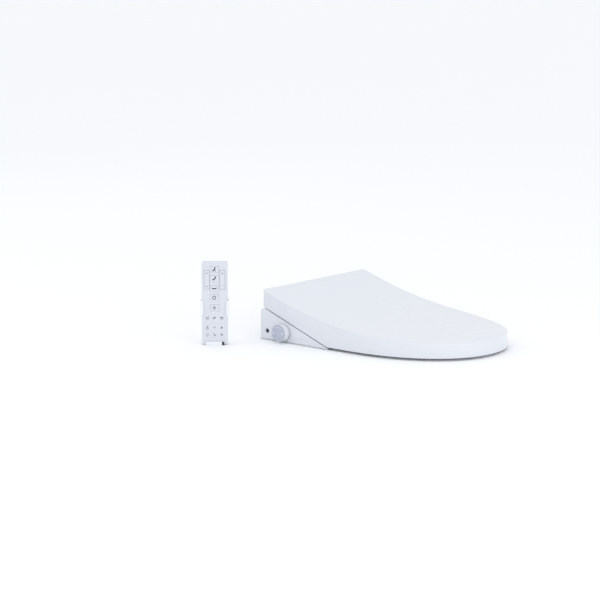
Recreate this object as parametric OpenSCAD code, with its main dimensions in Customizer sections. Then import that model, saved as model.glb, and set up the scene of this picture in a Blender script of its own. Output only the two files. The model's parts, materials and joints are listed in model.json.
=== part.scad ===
// Electric bidet seat for an elongated bowl, with its remote control and wall bracket.
// Millimetres. The origin is midway between the two bowl bolts, at the height of the bowl's rim.
// +Z is up, -Y points to the front of the seat and -X is the side that carries the control knob.
// s is the distance forward from the rear face of the lid, so y = bolt_s - s.

/* [Lid and seat outline] */
// Length of the lid from its rear face to its front tip
seat_len = 530; // [520:1:540]
// Half of the lid's width at its rear
rear_half_w = 189.5; // [188:0.5:190]
// Half of the lid's greatest width
max_half_w = 193; // [192:0.5:195]
// Distance from the rear face to the widest place
wide_s = 260; // [250:5:270]
// Roundness of the front end, where 2 is an ellipse
front_power = 2.18; // [2.1:0.02:2.3]
// Distance from the rear face of the lid to the bowl bolts
bolt_s = 60; // [58:1:62]

/* [Heights] */
// Height of the lid's top at the rear
lid_rear_z = 120.7; // [120:0.1:122]
// Height of the lid's top at the front
lid_front_z = 40.5; // [40:0.1:42]
// How fast the lid's top falls away from the rear
lid_curve = 2.6; // [2.5:0.05:2.7]
// Height of the seam between lid and casing at the rear
seam_rear_z = 77.5; // [77:0.1:78]
// Height of the lid's lower edge along the front
skirt_z = 6.2; // [6:0.1:6.5]
// Thickness of the lid's wall
lid_wall = 3; // [2.8:0.1:3.2]

/* [Hinge] */
// Distance of the hinge line from the rear face
hinge_s = 8.5; // [8.3:0.1:8.6]
// Height of the hinge line
hinge_z = 84; // [83.8:0.1:84.2]
// Diameter of the hinge pins
pin_d = 8; // [7:0.5:8]

/* [Mounting] */
// Distance between the two bowl bolts
bolt_spacing = 140; // [138:1:160]
// Width of the slots for the bowl bolts
slot_w = 8.6; // [8:0.2:9]
// Length of those slots, end to end
slot_len = 20; // [18:1:24]
// Outer diameter of the water inlet's G 1/2 thread
inlet_d = 20.9; // [20.5:0.1:21]

/* [Wash nozzle] */
// Slope of the nozzle below the horizontal
wand_slope = 15; // [14.5:0.5:15.5]
// Diameter of the nozzle
wand_d = 16; // [15:0.5:16]
// Teeth on the pinion that drives the nozzle
pinion_teeth = 18; // [18:1:18]

/* [Knob] */
// Diameter of the control knob
knob_d = 40.4; // [38:0.2:41]
// How far the knob stands out of the side panel
knob_h = 20; // [18:0.5:21]

/* [Remote control] */
// Width of the remote
remote_w = 60; // [58:1:62]
// Height of the remote
remote_h = 192; // [190:1:194]
// Thickness of the remote
remote_t = 22; // [22:1:24]

/* [Hidden] */

$fn = 48;
white = [0.93, 0.94, 0.96];
pale = [0.86, 0.87, 0.90];
grey = [0.62, 0.64, 0.70];
dark = [0.20, 0.21, 0.23];
seam_end_s = 200.5;   // where the seam meets the bowl's rim
seam_front_z = 4.25;  // height of the seam there
seam_gap = 1.2;       // half of the gap along the seam
rim_gap = 5;          // gap from the lid's top down to the seat's top, below the lid's wall
far = 250;            // larger than half of any outline
eps = 0.01;

// ---------------------------------------------------------------- outline and profiles
function y_at(s) = bolt_s - s;
function lid_z(s) = lid_front_z + (lid_rear_z - lid_front_z) * pow(max(0, 1 - s / seat_len), lid_curve);
function seam_z(s) = seam_rear_z - (seam_rear_z - seam_front_z) * s / seam_end_s;
function side_x(s) = rear_half_w + (max_half_w - rear_half_w) * (1 - pow(1 - s / wide_s, 2));
function front_s(t, inset) = wide_s + (seat_len - wide_s - inset) * pow(sin(t), 2 / front_power);
function front_x(t, inset) = (max_half_w - inset) * pow(max(0, cos(t)), 2 / front_power);

// Right half of the plan outline, from the rear corner to the front tip, moved in by inset.
function half_plan(inset, corner) = concat(
    [for (a = [0:30:90]) [rear_half_w - inset - corner * (1 - sin(a)), inset + corner * (1 - cos(a))]],
    [for (s = [52:52:wide_s - 40]) [side_x(s) - inset, s]],
    [for (t = [0:4:12]) [front_x(t, inset), front_s(t, inset)]],
    [for (t = [18:6:84]) [front_x(t, inset), front_s(t, inset)]]
);

module plan(inset, corner = 6) {
    right = half_plan(inset, corner);
    count = len(right);
    polygon(concat(
        [for (p = right) [p[0], y_at(p[1])]],
        [[0, y_at(seat_len - inset)]],
        [for (i = [count - 1:-1:0]) [-right[i][0], y_at(right[i][1])]]
    ));
}

// A bar across the seat from x0 to x1, whose section is a list of [s, z] points.
module across(x0, x1, section) {
    translate([x0, 0, 0])
        rotate([90, 0, 90])
            linear_extrude(x1 - x0)
                polygon([for (p = section) [y_at(p[0]), p[1]]]);
}

module block(x0, x1, s0, s1, z0, z1) {
    translate([x0, y_at(s1), z0])
        cube([x1 - x0, s1 - s0, z1 - z0]);
}

// A rod along X, at distance s and height z.
module rod_x(x0, x1, s, z, r) {
    translate([min(x0, x1), y_at(s), z])
        rotate([0, 90, 0])
            cylinder(r = r, h = abs(x1 - x0));
}

// A rod along Y, from s0 to s1.
module rod_y(s0, s1, x, z, r) {
    translate([x, y_at(max(s0, s1)), z])
        rotate([-90, 0, 0])
            cylinder(r = r, h = abs(s1 - s0));
}

module rod_z(z0, z1, x, s, r) {
    translate([x, y_at(s), z0])
        cylinder(r = r, h = z1 - z0);
}

module tube_x(x0, x1, s, z, r_out, r_in) {
    difference() {
        rod_x(x0, x1, s, z, r_out);
        rod_x(min(x0, x1) - 1, max(x0, x1) + 1, s, z, r_in);
    }
}

module both_sides() {
    children();
    mirror([1, 0, 0]) children();
}

// ---------------------------------------------------------------- lid
lid_steps = [0:20:140];
lid_far_steps = [180:50:480];
lug_x = [154.5, 164.5]; // the lid's hinge lugs
bush_r = 6;
bush_bore_r = pin_d / 2 + 0.05;
cut_half_w = 176;       // half width of the opening in the lid's rear skirt
cut_z = 96.5;           // top of that opening

function top_line(drop) = concat(
    [for (s = lid_steps) [s, lid_z(s) - drop]],
    [for (s = lid_far_steps) [s, lid_z(s) - drop]],
    [[seat_len, lid_front_z - drop]]
);

function skirt_line(drop) = [
    [seat_len, skirt_z - drop],
    [(seam_rear_z + seam_gap - skirt_z) / (seam_rear_z - seam_front_z) * seam_end_s, skirt_z - drop],
    [hinge_s - 2.7, seam_z(hinge_s - 2.7) + seam_gap - drop],
    [0, hinge_z - 4 - drop]
];

module lid_shell() {
    color(white) {
        difference() {
            intersection() {
                linear_extrude(lid_rear_z) plan(0);
                across(-far, far, concat(top_line(0), skirt_line(0)));
            }
            intersection() {
                translate([0, 0, -1]) linear_extrude(lid_rear_z + 1) plan(lid_wall, 4);
                across(-far, far, concat(top_line(lid_wall), [[seat_len, -1], [0, -1]]));
            }
            block(-cut_half_w, cut_half_w, -1, lid_wall + 1, 60, cut_z);
        }
        both_sides() lid_lug();
    }
}

// A lug that hangs from the lid's top down to the hinge line.
module lid_lug() {
    lug_r = 9;
    difference() {
        union() {
            rod_x(lug_x[0], lug_x[1], hinge_s, hinge_z, lug_r);
            across(lug_x[0], lug_x[1], [
                [hinge_s - 5, hinge_z + 4], [hinge_s - 5, lid_z(hinge_s - 5) - lid_wall],
                [hinge_s + 20, lid_z(hinge_s + 20) - lid_wall], [hinge_s + 8.6, hinge_z + 2]
            ]);
        }
        rod_x(lug_x[0] - 1, lug_x[1] + 1, hinge_s, hinge_z, bush_r);
    }
}

module lid_bushes() {
    color(dark) both_sides() tube_x(lug_x[0], lug_x[1], hinge_s, hinge_z, bush_r, bush_bore_r);
}

// Stiffening panel inside the lid. It stops short of the hinge lugs.
module lid_liner() {
    liner_t = 2;
    color(pale)
        intersection() {
            translate([0, 0, 20]) linear_extrude(100) plan(12, 4);
            across(-far, far, concat(
                [for (s = [40:20:140]) [s, lid_z(s) - lid_wall]],
                [for (s = lid_far_steps) [s, lid_z(s) - lid_wall]],
                [[seat_len, lid_front_z - lid_wall], [seat_len, lid_front_z - lid_wall - liner_t]],
                [for (i = [6:-1:0]) [180 + 50 * i, lid_z(180 + 50 * i) - lid_wall - liner_t]],
                [for (i = [5:-1:0]) [40 + 20 * i, lid_z(40 + 20 * i) - lid_wall - liner_t]]
            ));
        }
}

// Four rubber buffers under the lid, just above the seat's top.
buffer_places = [[150, 236], [104, 438]];
module lid_bumpers() {
    buffer_gap = 0.35;
    color(pale)
        both_sides()
            for (p = buffer_places)
                intersection() {
                    rod_z(20, 80, p[0], p[1], 6);
                    across(p[0] - 7, p[0] + 7, [
                        [p[1] - 8, lid_z(p[1] - 8) - lid_wall - 2],
                        [p[1] + 8, lid_z(p[1] + 8) - lid_wall - 2],
                        [p[1] + 8, lid_z(p[1] + 8) - lid_wall - rim_gap + buffer_gap],
                        [p[1] - 8, lid_z(p[1] - 8) - lid_wall - rim_gap + buffer_gap]
                    ]);
                }
}

// ---------------------------------------------------------------- seat
seat_inset = lid_wall + 3;
seat_wall = 3;
seat_base_z = 8;        // underside of the seat, which stands on its buffers
hump_half_w = 138;      // half width of the housing between the hinge arms
hump_end_s = 168;
open_rear_s = 190;      // the opening in the seat
open_front_s = 468;
open_half_w = 106;
arm_x = [141, 152];     // the seat's hinge lugs
arm_s = 34;             // where the arms reach their full width
arm_top_s = 120;
tunnel_x = [-26, 95];   // space under the seat's rear bridge for the nozzle and the dryer's flap
tunnel_z = 49;

// The seat's top runs parallel to the lid, and straight back to the hinge behind arm_top_s.
function seat_z(s) = s > arm_top_s
    ? lid_z(s) - lid_wall - rim_gap
    : hinge_z + 8 + (seat_z(arm_top_s + eps) - hinge_z - 8) * (s - hinge_s) / (arm_top_s - hinge_s);

function seat_line(drop) = concat(
    [for (s = [hinge_s, 30, 60, 90, 120, 150]) [s, seat_z(s) - drop]],
    [for (s = lid_far_steps) [s, seat_z(s) - drop]],
    [[seat_len, seat_z(seat_len) - drop]]
);

under_turn_s = (seam_rear_z + 2 - seat_base_z) / (seam_rear_z - seam_front_z) * seam_end_s;

function under_line(lift) = [
    [seat_len, seat_base_z + lift], [under_turn_s, seat_base_z + lift],
    [hinge_s, seam_z(hinge_s) + 2 + lift]
];

// Outline of the opening, an egg that is a little fuller at the rear.
module opening(outset) {
    mid_s = (open_rear_s + open_front_s) / 2;
    half_len = (open_front_s - open_rear_s) / 2 + outset;
    power = 2.15;
    polygon([for (a = [0:9:351]) [
        (open_half_w + outset) * sign(cos(a)) * pow(abs(cos(a)), 2 / power),
        y_at(mid_s + half_len * sign(sin(a)) * pow(abs(sin(a)), 2 / power))
    ]]);
}

module seat_block(inset, drop, lift) {
    intersection() {
        linear_extrude(lid_rear_z) plan(seat_inset + inset, 4);
        across(-far, far, concat(seat_line(drop), under_line(lift)));
    }
}

// What is cut from the seat: the opening, the housing's place, the nozzle's tunnel, the lid's lugs.
module seat_cuts(outset) {
    translate([0, 0, -1]) linear_extrude(lid_rear_z) opening(outset);
    block(-hump_half_w - 3 - outset, hump_half_w + 3 + outset, -20, hump_end_s + 4.5 + outset, -1, 150);
    block(tunnel_x[0] - outset, tunnel_x[1] + outset, hump_end_s, open_rear_s + 12 + outset,
          -1, tunnel_z + outset);
    both_sides() block(arm_x[1] + 0.5, far, -20, arm_s + outset, -1, 150);
}

module seat_top() {
    color(white) {
        difference() {
            seat_block(0, 0, 0);
            seat_cuts(0);
            difference() {
                seat_block(seat_wall, seat_wall, -1);
                seat_cuts(seat_wall);
            }
            seat_lug_cut();
        }
        both_sides() seat_lug();
    }
}

module seat_lug_cut() {
    both_sides() rod_x(arm_x[0] - 1, arm_x[1] + 0.5, hinge_s, hinge_z, bush_r + 1);
}

module seat_lug() {
    difference() {
        union() {
            rod_x(arm_x[0], arm_x[1], hinge_s, hinge_z, 8);
            across(arm_x[0], arm_x[1], [
                [hinge_s, hinge_z + 8], [arm_s + 3, seat_z(arm_s + 3) - 0.5],
                [arm_s + 3, seam_z(arm_s + 3) + 6], [hinge_s, hinge_z - 8]
            ]);
        }
        rod_x(arm_x[0] - 1, arm_x[1] + 1, hinge_s, hinge_z, bush_r);
    }
}

module seat_bushes() {
    color(dark) both_sides() tube_x(arm_x[0], arm_x[1], hinge_s, hinge_z, bush_r, bush_bore_r);
}

// Closing plate under the seat, inside the upper shell's walls.
module seat_underside() {
    floor_t = 3;
    fit_gap = 0.2;
    color(pale)
        difference() {
            intersection() {
                linear_extrude(lid_rear_z) plan(seat_inset + seat_wall + fit_gap, 4);
                across(-far, far, [
                    [seat_len, seat_base_z], [under_turn_s, seat_base_z],
                    [arm_s + 4, seam_z(arm_s + 4) + 2],
                    [arm_s + 4, seam_z(arm_s + 4) + 2 + floor_t], [under_turn_s, seat_base_z + floor_t],
                    [seat_len, seat_base_z + floor_t]
                ]);
            }
            seat_cuts(seat_wall + fit_gap);
        }
}

// Heating foil bonded under the seat's top face.
module seat_heater_foil() {
    foil_t = 0.6;
    color([0.8, 0.55, 0.3])
        difference() {
            intersection() {
                linear_extrude(lid_rear_z) plan(seat_inset + seat_wall + 6, 4);
                across(-far, far, concat(
                    [for (s = [230:50:480]) [s, seat_z(s) - seat_wall]],
                    [for (i = [5:-1:0]) [230 + 50 * i, seat_z(230 + 50 * i) - seat_wall - foil_t]]
                ));
            }
            seat_cuts(seat_wall + 6);
        }
}

// Four rubber buffers that stand on the bowl's rim.
module seat_bumpers() {
    color(pale)
        both_sides()
            for (p = [[146, 250], [96, 440]])
                translate([p[0], y_at(p[1]), 0])
                    rotate_extrude()
                        polygon([[0, 0], [8, 0], [10, 1.5], [10, seat_base_z], [0, seat_base_z]]);
}

// ---------------------------------------------------------------- base: plate, chassis, covers
plate_t = 4.5;
base_half_w = 183;      // the side panels close the base beyond this
panel_x = 190.5;        // outer face of the side panels
panel_t = 3.5;
cover_wall = 2.5;
cover_z = 12;           // the cover's lower edge
base_front_s = 165;
base_rear_line = [[-9, 1.5], [-3.5, 70.5]];
post_x = [122, 134];    // hinge posts
inlet_s = 27;
inlet_z = 24;
gland_x = 150;
gland_z = 22;
button_s = 13.9;
button_z = 21;
knob_s = 65.8;
knob_z = 24.3;
window_half_w = 11.5;   // nozzle window in the housing's front
window_z = [20, 45];
air_window_x = [47, 87];
air_window_z = [20, 46];
intake_x = [-76, -42];
fixing_places = [[158, 46], [150, 112]];

module mounting_plate() {
    color(grey)
        difference() {
            block(-98, 98, 14, 128, 0, plate_t);
            for (x = [-bolt_spacing / 2, bolt_spacing / 2]) {
                block(x - (slot_len - slot_w) / 2, x + (slot_len - slot_w) / 2,
                      bolt_s - slot_w / 2, bolt_s + slot_w / 2, -1, plate_t + 1);
                for (end = [-1, 1])
                    rod_z(-1, plate_t + 1, x + end * (slot_len - slot_w) / 2, bolt_s, slot_w / 2);
            }
        }
}

module base_chassis() {
    color(pale) {
        difference() {
            union() {
                difference() {
                    across(-base_half_w, base_half_w, [
                        [-8, plate_t], [-7, cover_z], [base_front_s, cover_z], [base_front_s, plate_t]
                    ]);
                    block(-base_half_w + 3, base_half_w - 3, -3, base_front_s - 3, 8, cover_z + 1);
                }
                both_sides()
                    for (p = fixing_places)
                        rod_z(7.9, seam_z(p[1]) - 4.2 - cover_wall, p[0], p[1], 4.5);
                both_sides() hinge_post();
            }
            both_sides() {
                block(bolt_spacing / 2 - 16, bolt_spacing / 2 + 16, 42, 78, 3, 9);
                for (p = fixing_places) {
                    rod_z(3, seam_z(p[1]) - 4, p[0], p[1], 1.6);
                    rod_z(3, 6.8, p[0], p[1], 3.4);
                }
                rod_x(post_x[0] - 1, post_x[1] + 1, hinge_s, hinge_z, pin_d / 2);
            }
        }
    }
}

module hinge_post() {
    across(post_x[0], post_x[1], [
        [1.6, 7.9], [1.6, hinge_z + 3], [4.5, hinge_z + 7.5], [12, hinge_z + 7.5], [15, 60], [15, 7.9]
    ]);
}

// Section of the low side wings, whose top follows the seam.
function wing_line(drop, front, rear_in) = [
    [-3.5 + rear_in, 70.5 - drop], [0, 73 - drop], [hinge_s, seam_z(hinge_s) - seam_gap - drop],
    [front, seam_z(front) - seam_gap - drop]
];

function hump_line(drop) = concat(
    [[-1.2 + drop, 60], [-1.2 + drop, 90 - drop / 2]],
    [[3 + drop / 2, 95.5 - drop / 1.25], [4.5, 97 - drop], [13, 105 - drop]],
    [for (s = [30, 55, 80, 105, 130, 150]) [s, lid_z(s) - 10 - drop]],
    [[162 - drop / 2, lid_z(162) - 13 - drop], [hump_end_s - drop, lid_z(hump_end_s) - 18 - drop]]
);

module main_cover() {
    color(white)
        difference() {
            union() {
                across(-base_half_w, base_half_w, concat(
                    wing_line(0, base_front_s, 0), [[base_front_s, cover_z], [-8.1, cover_z]]
                ));
                across(-hump_half_w, hump_half_w, concat(
                    hump_line(0), [[hump_end_s, cover_z], [-1.2, cover_z]]
                ));
            }
            across(-base_half_w - 1, base_half_w + 1, concat(
                wing_line(cover_wall, base_front_s - cover_wall, cover_wall),
                [[base_front_s - cover_wall, cover_z - 1], [-5.6, cover_z - 1]]
            ));
            across(-hump_half_w + cover_wall, hump_half_w - cover_wall, concat(
                hump_line(cover_wall),
                [[hump_end_s - cover_wall, cover_z - 1], [-1.2 + cover_wall, cover_z - 1]]
            ));
            both_sides() rod_x(hump_half_w - 5, hump_half_w + 1, hinge_s, hinge_z, pin_d / 2 + 0.5);
            block(-window_half_w, window_half_w, hump_end_s - 4, hump_end_s + 1,
                  window_z[0], window_z[1]);
            block(air_window_x[0], air_window_x[1], hump_end_s - 4, hump_end_s + 1,
                  air_window_z[0], air_window_z[1]);
            for (z = [20:5:40])
                block(intake_x[0], intake_x[1], hump_end_s - 4, hump_end_s + 1, z, z + 2.4);
            rod_y(-12, 0, gland_x, gland_z, 8);
        }
}

panel_section = concat(base_rear_line, [
    [0, 73], [hinge_s, seam_z(hinge_s) - seam_gap], [202, seam_z(202) - seam_gap], [201, 1.5]
]);
panel_pocket = [
    [-6, 4.5], [-0.5, 67.5], [1.5, 70], [hinge_s, seam_z(hinge_s) - seam_gap - 3],
    [184, seam_z(184) - seam_gap - 3], [184, 4.5]
];

// Plan of a side panel: a strip whose rear outer corner is rounded.
module panel_plan() {
    corner = 7;
    polygon(concat(
        [[base_half_w, y_at(-10)]],
        [for (a = [90:-15:0]) [panel_x - corner * (1 - cos(a)), y_at(-9 + corner * (1 - sin(a)))]],
        [[panel_x, y_at(100)], [side_x(203), y_at(203)], [base_half_w, y_at(203)]]
    ));
}

module side_panel() {
    difference() {
        intersection() {
            linear_extrude(90) panel_plan();
            across(base_half_w, far, panel_section);
        }
        across(base_half_w - 1, panel_x - panel_t, panel_pocket);
    }
}

// The panel on the user's left, around the water inlet.
module left_side_panel() {
    color(white)
        difference() {
            side_panel();
            rod_x(base_half_w - 1, far, inlet_s, inlet_z, inlet_d / 2 + 0.3);
        }
}

// The panel on the user's right, with the knob's hole, the release button's well and the lamp's hole.
module right_side_panel() {
    color(white)
        difference() {
            union() {
                mirror([1, 0, 0]) side_panel();
                rod_x(-panel_x + panel_t, -base_half_w + 3, button_s, button_z, 7);
                rod_x(-panel_x + panel_t, -base_half_w + 3, knob_s, knob_z, 10);
            }
            rod_x(-far, -base_half_w + 4, knob_s, knob_z, 6.3);
            rod_x(-far, -base_half_w + 4, button_s, button_z, 4.9);
            translate([-panel_x - eps, y_at(button_s), button_z])
                rotate([0, 90, 0])
                    cylinder(r1 = 7.5, r2 = 4.9, h = 2.2);
            rod_x(-far, -base_half_w + 4, lamp_s, lamp_z, lamp_r);
        }
}

lamp_s = 121.5;
lamp_z = 13.9;
lamp_r = 1.2;
module indicator_light() {
    color([0.75, 0.77, 0.82])
        rod_x(-panel_x - 0.1, -panel_x + panel_t + 4, lamp_s, lamp_z, lamp_r - 0.02);
}

module base_feet() {
    color(dark)
        both_sides()
            for (s = [20, 146])
                rod_z(0, plate_t, 156, s, 9);
}

module casing_screws() {
    color(grey)
        both_sides()
            for (p = fixing_places) {
                rod_z(5, 6.8, p[0], p[1], 3.2);
                rod_z(6.8, 24, p[0], p[1], 1.55);
            }
}

module hinge_pins() {
    color(grey)
        both_sides() {
            rod_x(96, lug_x[1] + 1, hinge_s, hinge_z, pin_d / 2);
            rod_x(lug_x[1] + 1, lug_x[1] + 3, hinge_s, hinge_z, 6.5);
        }
}

// A sealed rotary damper on the inner end of a hinge pin.
module damper() {
    difference() {
        rod_x(88, post_x[0], hinge_s, hinge_z, 6.8);
        rod_x(96, post_x[0] + 1, hinge_s, hinge_z, pin_d / 2);
    }
}

module seat_damper() {
    color(dark) damper();
}

module lid_damper() {
    color(dark) mirror([1, 0, 0]) damper();
}

// ---------------------------------------------------------------- electronics and water path
module control_board() {
    board_z = 58;
    color([0.15, 0.45, 0.3]) {
        block(24, 116, 34, 74, board_z, board_z + 1.6);
        for (x = [30, 52]) block(x, x + 14, 40, 54, board_z + 1.6, board_z + 5);
        for (x = [82, 98]) rod_z(board_z + 1.6, board_z + 14, x, 46, 6);
        block(74, 92, 58, 70, board_z + 1.6, board_z + 12);
        for (x = [28, 112]) rod_z(8, board_z, x, 70, 3);
    }
}

valve_x = [80, 116];
module water_inlet() {
    inlet_end = panel_x + 13;
    color(grey)
        difference() {
            union() {
                rod_x(valve_x[1], panel_x + 1, inlet_s, inlet_z, inlet_d / 2 - 1);
                rod_x(panel_x + 1, inlet_end, inlet_s, inlet_z, inlet_d / 2);
                rod_x(172, 178, inlet_s, inlet_z, 14);
            }
            rod_x(valve_x[1] - 1, inlet_end - 18, inlet_s, inlet_z, 5);
            rod_x(inlet_end - 18 - eps, inlet_end + 1, inlet_s, inlet_z, 7.5);
        }
}

module inlet_filter() {
    inlet_end = panel_x + 13;
    color(pale) tube_x(inlet_end - 18, inlet_end - 4, inlet_s, inlet_z, 7.5, 5.5);
}

module solenoid_valve() {
    color(dark) {
        block(valve_x[0], valve_x[1], 14, 50, 12, 38);
        rod_z(38, 56, (valve_x[0] + valve_x[1]) / 2, 26, 8);
    }
}

pump_x = [-112, -62];
module pump() {
    color(dark) {
        rod_x(pump_x[0], pump_x[1], 46, 28, 16);
        block(pump_x[0] + 6, pump_x[1] - 6, 32, 60, 8, 13);
    }
}

heater_x = [-128, -88];
module instant_heater() {
    color(pale)
        difference() {
            block(heater_x[0], heater_x[1], 76, 152, 8, 52);
            for (s = [88:14:144]) block(heater_x[0] + 4, heater_x[1] - 4, s, s + 4, 49, 53);
        }
}

module water_tubes() {
    color([0.85, 0.9, 0.95]) {
        rod_x(pump_x[1], valve_x[0], 46, 20, 3.5);
        rod_y(62, 76, -104, 28, 3.5);
        rod_x(heater_x[1], -guide_half_w, 86, 48, 3);
    }
}

module cord_gland() {
    color(dark)
        difference() {
            union() {
                rod_y(-17, 2, gland_x, gland_z, 7.5);
                rod_y(-12, -8.6, gland_x, gland_z, 10);
                rod_y(-4, -1, gland_x, gland_z, 10);
            }
            rod_y(-18, 3, gland_x, gland_z, 3.6);
        }
}

// ---------------------------------------------------------------- wash nozzle
axis_s = 168;           // the nozzle's axis crosses this place in the housing's front
axis_z = 33;
wand_front = -4;        // places along the nozzle's axis, counted forward from there
wand_rear = -150;
guide_half_w = 13;
guide_span = [-122, -8];
rack_pitch = 8.5;       // distance of the rack's pitch line below the nozzle's axis
pinion_r = pinion_teeth / 2;
pinion_along = -50;
backlash = 0.18;
gear_w = 5;

// Places children in the nozzle's own frame: X along its axis forward, Y across, Z up from it.
module nozzle_frame() {
    translate([0, y_at(axis_s), axis_z])
        rotate([0, 0, -90])
            rotate([0, wand_slope, 0])
                children();
}

module nozzle_bar(x0, x1, half_w, z0, z1) {
    translate([x0, -half_w, z0]) cube([x1 - x0, 2 * half_w, z1 - z0]);
}

module nozzle_rod(x0, x1, r) {
    translate([x0, 0, 0]) rotate([0, 90, 0]) cylinder(r = r, h = x1 - x0);
}

// One rack tooth space of the given width at the pitch line, cut upwards from below.
module rack_space() {
    half = PI / 4 + backlash / 2;
    rotate([90, 0, 0])
        translate([0, 0, -4])
            linear_extrude(8)
                polygon([
                    [-half - 0.55, -1.5], [half + 0.55, -1.5],
                    [half - 0.45, 1.25], [-half + 0.45, 1.25]
                ]);
}

module nozzle_wand() {
    rack_span = [wand_rear + 1, -42];
    color(white)
        nozzle_frame()
            difference() {
                union() {
                    nozzle_rod(wand_rear, wand_front - 14, wand_d / 2);
                    nozzle_bar(rack_span[0], rack_span[1], 3, -rack_pitch - 0.9, -4);
                }
                translate([pinion_along, 0, -rack_pitch])
                    for (i = [-31:2])
                        translate([i * PI, 0, 0]) rack_space();
            }
}

module nozzle_tip() {
    color(grey)
        nozzle_frame()
            difference() {
                nozzle_rod(wand_front - 14, wand_front, wand_d / 2);
                for (x = [-12, -9, -6])
                    translate([x, 0, 3]) cylinder(r = 0.8, h = 8);
            }
}

// Involute-like tooth: a trapezium with a flank of about 20 degrees at the pitch circle.
module gear_outline() {
    root_r = pinion_r - 1.25;
    tip_r = pinion_r + 0.9;
    half = PI / 4 - backlash / 2;
    union() {
        circle(r = root_r, $fn = 72);
        for (i = [0:pinion_teeth - 1])
            rotate(i * 360 / pinion_teeth)
                polygon([
                    [root_r - 0.5, -half - 0.42], [pinion_r, -half], [tip_r, -half + 0.42],
                    [tip_r, half - 0.42], [pinion_r, half], [root_r - 0.5, half + 0.42]
                ]);
    }
}

module nozzle_pinion() {
    color(grey)
        nozzle_frame()
            translate([pinion_along, 0, -rack_pitch - pinion_r])
                rotate([90, 0, 0]) {
                    translate([0, 0, -gear_w / 2])
                        rotate(90) linear_extrude(gear_w) gear_outline();
                    translate([0, 0, -30]) cylinder(r = 2.5, h = 34);
                }
}

module nozzle_motor() {
    color(dark)
        nozzle_frame()
            translate([pinion_along, 0, -rack_pitch - pinion_r])
                rotate([90, 0, 0])
                    difference() {
                        translate([0, 0, -32]) cylinder(r = 13, h = 18);
                        translate([0, 0, -31]) cylinder(r = 2.55, h = 20);
                    }
}

module nozzle_guide() {
    bore_gap = 0.35;
    color(pale)
        nozzle_frame()
            difference() {
                nozzle_bar(guide_span[0], guide_span[1], guide_half_w, -12.5, 12.5);
                nozzle_rod(guide_span[0] - 1, guide_span[1] + 1, wand_d / 2 + bore_gap);
                nozzle_bar(guide_span[0] - 1, guide_span[1] + 1, 3.5, -13, 0);
            }
}

// Splash guard that hangs in front of the nozzle window, with a cut-out for the nozzle.
guard_s = hump_end_s + 2.2;
guard_z = 46.5;
module nozzle_guard() {
    color(white)
        difference() {
            union() {
                across(-18, 18, [
                    [guard_s - 1.2, guard_z], [guard_s - 1.2, 18],
                    [guard_s + 0.8, 18], [guard_s + 0.8, guard_z]
                ]);
                rod_x(-18, 18, guard_s, guard_z, 1.9);
            }
            block(-10, 10, guard_s - 3, guard_s + 3, 17, 44);
        }
}

// ---------------------------------------------------------------- dryer and deodorizer
dryer_x = [42, 92];
dryer_s = [78, 162];
fan_s = 104;
fan_z = 34;
duct_z = [8, 58];
step_s = 148;           // both ducts are lower in front of here, under the cover's rounded front
step_z = 50;

module dryer_housing() {
    wall = 2;
    color(pale)
        difference() {
            block(dryer_x[0], dryer_x[1], dryer_s[0], dryer_s[1], duct_z[0], duct_z[1]);
            block(dryer_x[0] - 1, dryer_x[1] + 1, step_s, dryer_s[1] + 1, step_z, duct_z[1] + 1);
            rod_x(dryer_x[0] + wall, dryer_x[1] - wall, fan_s, fan_z, 23.5);
            block(dryer_x[0] + wall, dryer_x[1] - wall, fan_s, dryer_s[1] + 1, air_window_z[0] + 2, 44);
            rod_x(dryer_x[0] - 1, dryer_x[0] + wall + 1, fan_s, fan_z, 12);
            rod_x(dryer_x[1] - wall - 1, dryer_x[1] + 1, fan_s, fan_z, 5);
        }
}

// Squirrel-cage fan: back plate, hub, blades and a rim.
module impeller(x0, x1, s, z, r, blades, shaft_x) {
    tube_x(x0, x0 + 1.6, s, z, r, r - 5);
    rod_x(x1 - 1.6, x1, s, z, r);
    rod_x(x1 - 9, x1 - 1.6, s, z, 5);
    rod_x(x1, shaft_x, s, z, 1.5);
    for (i = [0:blades - 1])
        translate([x0 + 1.6, y_at(s), z])
            rotate([i * 360 / blades, 0, 0])
                translate([0, -0.5, r - 4.5])
                    cube([x1 - x0 - 3.2, 1, 4]);
}

module dryer_impeller() {
    color(grey) impeller(dryer_x[0] + 5, dryer_x[1] - 5, fan_s, fan_z, 21, 20, dryer_x[1] + 10);
}

module dryer_motor() {
    color(dark)
        difference() {
            rod_x(dryer_x[1], dryer_x[1] + 20, fan_s, fan_z, 14);
            rod_x(dryer_x[1] - 1, dryer_x[1] + 12, fan_s, fan_z, 1.56);
        }
}

module dryer_heater() {
    color([0.75, 0.6, 0.45])
        difference() {
            block(dryer_x[0] + 2, dryer_x[1] - 2, 134, 148, air_window_z[0] + 2, 44);
            for (x = [dryer_x[0] + 5:5:dryer_x[1] - 8])
                block(x, x + 3.4, 133, 149, air_window_z[0] + 4, 42);
        }
}

flap_s = hump_end_s + 2.2;
flap_z = 46.5;
module dryer_flap() {
    color(white) {
        across(air_window_x[0] - 2, air_window_x[1] + 2, [
            [flap_s - 1.2, flap_z], [flap_s - 1.2, 19], [flap_s + 0.8, 19], [flap_s + 0.8, flap_z]
        ]);
        rod_x(air_window_x[0] - 2, air_window_x[1] + 2, flap_s, flap_z, 1.9);
    }
}

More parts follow.
